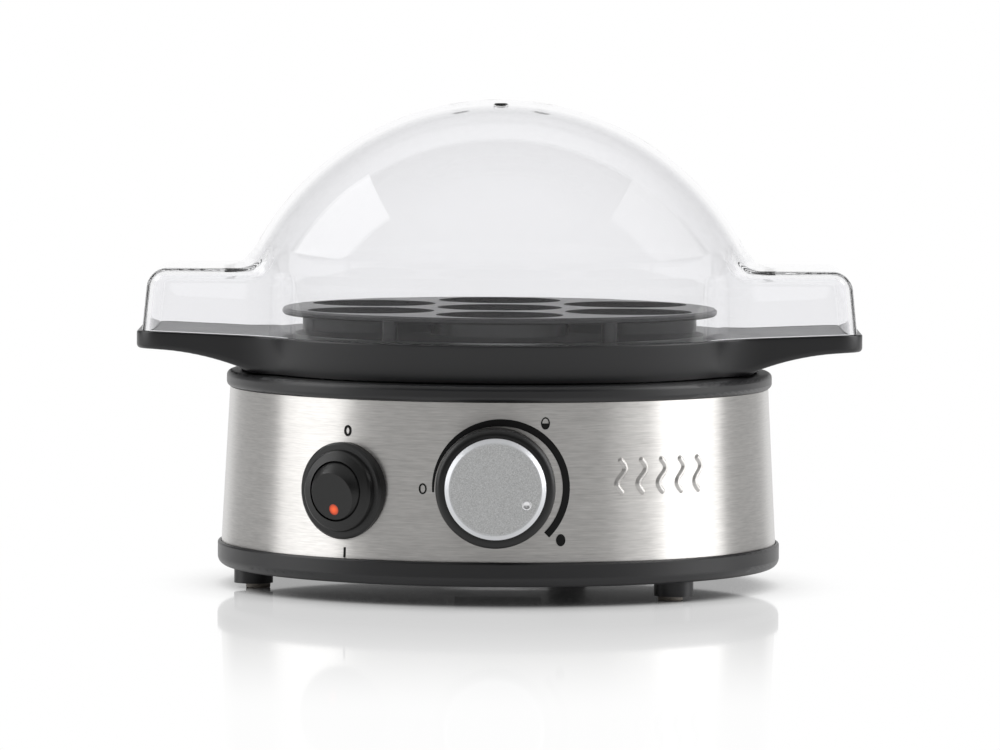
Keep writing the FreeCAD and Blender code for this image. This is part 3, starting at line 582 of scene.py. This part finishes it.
def lit_lens():
    """Orange lens, glowing most in its middle where the lamp is behind it."""
    material = moulded("lens_orange", (0.35, 0.03, 0.008), 0.25, grain=1500.0)
    tree = material.node_tree
    low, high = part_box("rocker_lens")
    middle = (low + high) / 2
    place = add_node(tree, "ShaderNodeTexCoord").outputs["Object"]
    centred = add_node(tree, "ShaderNodeMapping", {
        "Location": tuple(-c / GLOW_RADIUS for c in middle), "Scale": (1 / GLOW_RADIUS,) * 3},
        {"Vector": place})
    spot = add_node(tree, "ShaderNodeTexGradient", links={"Vector": centred.outputs[0]},
                    gradient_type="SPHERICAL")
    glow = add_node(tree, "ShaderNodeValToRGB", links={"Fac": spot.outputs["Fac"]})
    stops = glow.color_ramp.elements
    stops[0].position, stops[0].color = 0.10, rgb(0.03, 0.002, 0.001)
    stops[1].position, stops[1].color = 0.70, rgb(1.0, 0.13, 0.02)
    shader = tree.nodes["Principled BSDF"]
    tree.links.new(glow.outputs["Color"], shader.inputs["Emission Color"])
    shader.inputs["Emission Strength"].default_value = 1.1
    return material


def all_finishes():
    """One material for each of the record's slots.

    A row gives colour, roughness, their spreads, the mottling's scale and the grain's scale. A
    black's row gives colour, roughness, the grain's scale and the specular level.
    """
    blacks = {
        "black_plastic": ((0.011, 0.011, 0.012), 0.36, 2200.0, 0.42),
        "tray_black": ((0.011, 0.011, 0.012), 0.34, 1700.0, 0.42),
        "switch_black": ((0.006, 0.006, 0.006), 0.36, 2600.0, 0.4),
    }
    metals = {
        "dish_metal": ((0.30, 0.30, 0.31), 0.33, 0.18, 0.16, 40.0, 1400.0),
        "heater_tube": ((0.42, 0.40, 0.37), 0.35, 0.2, 0.15, 90.0, 900.0),
        "zinc_steel": ((0.62, 0.62, 0.60), 0.30, 0.15, 0.12, 220.0, 1600.0),
        "brass_tabs": ((0.74, 0.54, 0.24), 0.32, 0.12, 0.1, 300.0, 1500.0),
    }
    others = {
        "ceramic": ((0.80, 0.77, 0.70), 0.60, 0.10, 0.1, 160.0, 1800.0),
        "phenolic": ((0.05, 0.042, 0.04), 0.45, 0.3, 0.12, 200.0, 2600.0),
        "silicone": ((0.42, 0.08, 0.05), 0.55, 0.12, 0.1, 120.0, 1500.0),
        "board_green": ((0.03, 0.16, 0.07), 0.35, 0.25, 0.1, 400.0, 3000.0),
        "pad_rubber": ((0.34, 0.30, 0.26), 0.45, 0.2, 0.15, 260.0, 2000.0),
    }
    made = {
        "brushed_band": brushed_steel(),
        "clear_plastic": clear_plastic(),
        "silver_satin": silver_cap(),
        "lens_orange": lit_lens(),
        "black_ink": moulded("black_ink", (0.004, 0.004, 0.004), 0.55, 0.2, 0.1, 300.0, 3000.0,
                             Specular_IOR_Level=0.2),
        "silver_bright": moulded("silver_bright", (0.80, 0.80, 0.81), 0.28, 0.1, 0.08, 300.0, 1500.0,
                                 Metallic=0.8),
        "lamp_glow": moulded("lamp_glow", (0.9, 0.35, 0.12), 0.2, 0.1, 0.08, 300.0, 1500.0,
                             Emission_Color=rgb(1.0, 0.3, 0.08), Emission_Strength=0.6),
    }
    for name, (colour, roughness, grain, gloss) in blacks.items():
        made[name] = moulded(name, colour, roughness, grain=grain, Specular_IOR_Level=gloss)
    for name, row in metals.items():
        made[name] = moulded(name, *row, Metallic=1.0)
    for name, row in others.items():
        made[name] = moulded(name, *row)
    return made


# --------------------------------------------------------------------------- stage
def studio_floor():
    """Wide pale sheet that shines faintly and darkens only close under the body."""
    angles = np.linspace(0, 2 * np.pi, 64, endpoint=False)
    rim = [(FLOOR_RADIUS * math.cos(a), FLOOR_RADIUS * math.sin(a), 0) for a in angles]
    mesh = bpy.data.meshes.new("floor")
    mesh.from_pydata(rim, [], [tuple(range(len(rim)))])
    floor = bpy.data.objects.new("floor", mesh)
    bpy.context.scene.collection.objects.link(floor)
    material = bpy.data.materials.new("pale_floor")
    material.use_nodes = True
    tree = material.node_tree
    tree.nodes.clear()
    near = add_node(tree, "ShaderNodeAmbientOcclusion", {"Distance": SHADOW_REACH}, samples=8)
    dark = add_node(tree, "ShaderNodeMapRange", {
        "From Min": SHADOW_OPEN[0], "From Max": SHADOW_OPEN[1], "To Min": 0.01},
        {"Value": near.outputs["AO"]})
    place = add_node(tree, "ShaderNodeTexCoord").outputs["Object"]
    reach = add_node(tree, "ShaderNodeVectorMath", links={0: place}, operation="LENGTH")
    fade = add_node(tree, "ShaderNodeMapRange", {
        "From Min": MIRROR_FADE[0], "From Max": MIRROR_FADE[1], "To Min": MIRROR_SHARE[0],
        "To Max": MIRROR_SHARE[1]}, {"Value": reach.outputs["Value"]}, interpolation_type="SMOOTHSTEP")
    glance = add_node(tree, "ShaderNodeLayerWeight")
    level = add_node(tree, "ShaderNodeMapRange", {
        "From Min": MIRROR_FACING[0], "From Max": MIRROR_FACING[1]}, {"Value": glance.outputs["Facing"]})
    mirror = add_node(tree, "ShaderNodeMath", links={0: fade.outputs[0], 1: level.outputs[0]},
                      operation="MULTIPLY")
    pale = add_node(tree, "ShaderNodeEmission", {"Color": rgb(1.0, 1.0, 1.0)}, {"Strength": dark.outputs[0]})
    shine = add_node(tree, "ShaderNodeBsdfGlossy", {"Color": rgb(1, 1, 1), "Roughness": 0.05})
    mixed = add_node(tree, "ShaderNodeMixShader", links={0: mirror.outputs[0], 1: pale.outputs[0],
                                                         2: shine.outputs[0]})
    end = add_node(tree, "ShaderNodeOutputMaterial")
    tree.links.new(mixed.outputs[0], end.inputs["Surface"])
    mesh.materials.append(material)


def soft_box(name, turn, rise, distance, wide, tall, brightness, roll=0.0):
    """Area light at a turn and a rise round the aim, facing it. Its watts follow from its brightness."""
    light = bpy.data.lights.new(name, "AREA")
    light.shape, light.size, light.size_y = "RECTANGLE", wide, tall
    light.energy = brightness * math.pi * wide * tall
    lamp = bpy.data.objects.new(name, light)
    bpy.context.scene.collection.objects.link(lamp)
    turn, rise = math.radians(turn), math.radians(rise)
    away = Vector((math.sin(turn) * math.cos(rise), -math.cos(turn) * math.cos(rise), math.sin(rise)))
    lamp.location = Vector(AIM) + distance * away
    lamp.rotation_mode = "QUATERNION"
    lamp.rotation_quaternion = away.to_track_quat("Z", "Y") @ Quaternion((0, 0, 1), roll)
    lamp.visible_camera = False
    return lamp


def spare(lamp, piece):
    """Keeps a lamp's light off one piece, so that it leaves no mirror image there."""
    receivers = bpy.data.collections.new(lamp.name + "_receivers")
    receivers.objects.link(piece)
    receivers.collection_objects[0].light_linking.link_state = "EXCLUDE"
    lamp.light_linking.receiver_collection = receivers


def level_ramp(tree, value, levels):
    """Grey level that follows a value from -1 to 1, through (value, level) stops."""
    share = add_node(tree, "ShaderNodeMapRange", {"From Min": -1.0, "From Max": 1.0}, {"Value": value})
    walls = add_node(tree, "ShaderNodeValToRGB", links={"Fac": share.outputs[0]})
    stops = walls.color_ramp.elements
    for stop, (at, level) in zip((stops[0], stops[1]), (levels[0], levels[-1])):
        stop.position, stop.color = (at + 1) / 2, rgb(level, level, level)
    for at, level in levels[1:-1]:
        stops.new((at + 1) / 2).color = rgb(level, level, level)
    return walls.outputs["Color"]


def studio_walls():
    """Walls of the room as the object mirrors them: dark in front and beside, pale behind and above."""
    world = bpy.data.worlds.new("studio")
    bpy.context.scene.world = world
    world.use_nodes = True
    tree = world.node_tree
    tree.nodes.clear()
    look = add_node(tree, "ShaderNodeTexCoord").outputs["Generated"]
    parts = add_node(tree, "ShaderNodeSeparateXYZ", links={0: look})
    depth = level_ramp(tree, parts.outputs["Y"], ((-1, 0.06), (-0.6, 0.09), (0, 0.12), (0.82, 0.10),
                                                  (0.93, 1.0), (1, 1.0)))
    above = level_ramp(tree, parts.outputs["Z"], ((-1, 0), (0.45, 0), (0.8, 0.7), (1, 0.7)))
    mirrored = add_node(tree, "ShaderNodeMath", links={0: depth, 1: above}, operation="MAXIMUM")
    path = add_node(tree, "ShaderNodeLightPath")
    straight = add_node(tree, "ShaderNodeMath", links={
        0: path.outputs["Is Camera Ray"], 1: path.outputs["Is Transmission Ray"]}, operation="MAXIMUM")
    level = add_node(tree, "ShaderNodeMath", links={0: straight.outputs[0], 1: mirrored.outputs[0]},
                     operation="MAXIMUM")
    back = add_node(tree, "ShaderNodeBackground", links={"Color": level.outputs[0]})
    end = add_node(tree, "ShaderNodeOutputWorld")
    tree.links.new(back.outputs[0], end.inputs["Surface"])


def camera():
    """Long lens a little above the table, straight on to the controls."""
    data = bpy.data.cameras.new("camera")
    data.lens, data.sensor_width = LENS, SENSOR
    data.clip_start, data.clip_end = 0.1, 200
    eye = bpy.data.objects.new("camera", data)
    bpy.context.scene.collection.objects.link(eye)
    eye.location = EYE
    forward = Vector((0, math.cos(EYE_TILT), -math.sin(EYE_TILT)))
    eye.rotation_mode = "QUATERNION"
    eye.rotation_quaternion = forward.to_track_quat("-Z", "Y") @ Quaternion((0, 0, 1), EYE_ROLL)
    bpy.context.scene.camera = eye


# --------------------------------------------------------------------------- putting it together
def dress(finishes):
    """Gives every part the finish of its slot."""
    slots = {row["node"]: row["material_slot"] for row in frame["record"]["subparts"]}
    for node, part in frame["nodes"].items():
        for place in part.material_slots:
            place.material = finishes[slots[node]]


def add_piece(piece, body, slot, finishes, *nodes):
    """Puts a finish on a new piece, ties it to its body and hides the parts that it stands for."""
    piece.data.materials.clear()
    piece.data.materials.append(finishes[slot])
    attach(piece, body)
    if nodes:
        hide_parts(*nodes)


finishes = all_finishes()
dress(finishes)
lid = clear_lid()
add_piece(lid, "lid", "clear_plastic", finishes, "lid")
add_piece(steam_tray(), "tray", "tray_black", finishes, "steam_tray")
add_piece(steam_waves(), "root", "brushed_band", finishes)
add_piece(pointer_dimple(), "knob", "silver_bright", finishes, "knob_pointer")

studio_floor()
studio_walls()
panels = [soft_box("left_panel", -85, 20, 1.2, 0.82, 0.92, 2.6),
          soft_box("right_panel", 87, 20, 1.2, 0.80, 0.92, 3.6),
          soft_box("right_fill", 58, 20, 1.4, 0.42, 0.92, 0.8)]
for panel in panels:
    spare(panel, lid)
soft_box("left_window", -107, 41, 1.2, 0.68, 0.54, 1.2, 0.23)
soft_box("right_window", 106, 41, 1.2, 0.66, 0.54, 0.5, -0.23)
camera()
bpy.context.scene.view_settings.view_transform = "Standard"
for kind in ("max_bounces", "glossy_bounces", "transmission_bounces"):
    setattr(bpy.context.scene.cycles, kind, LIGHT_BOUNCES)
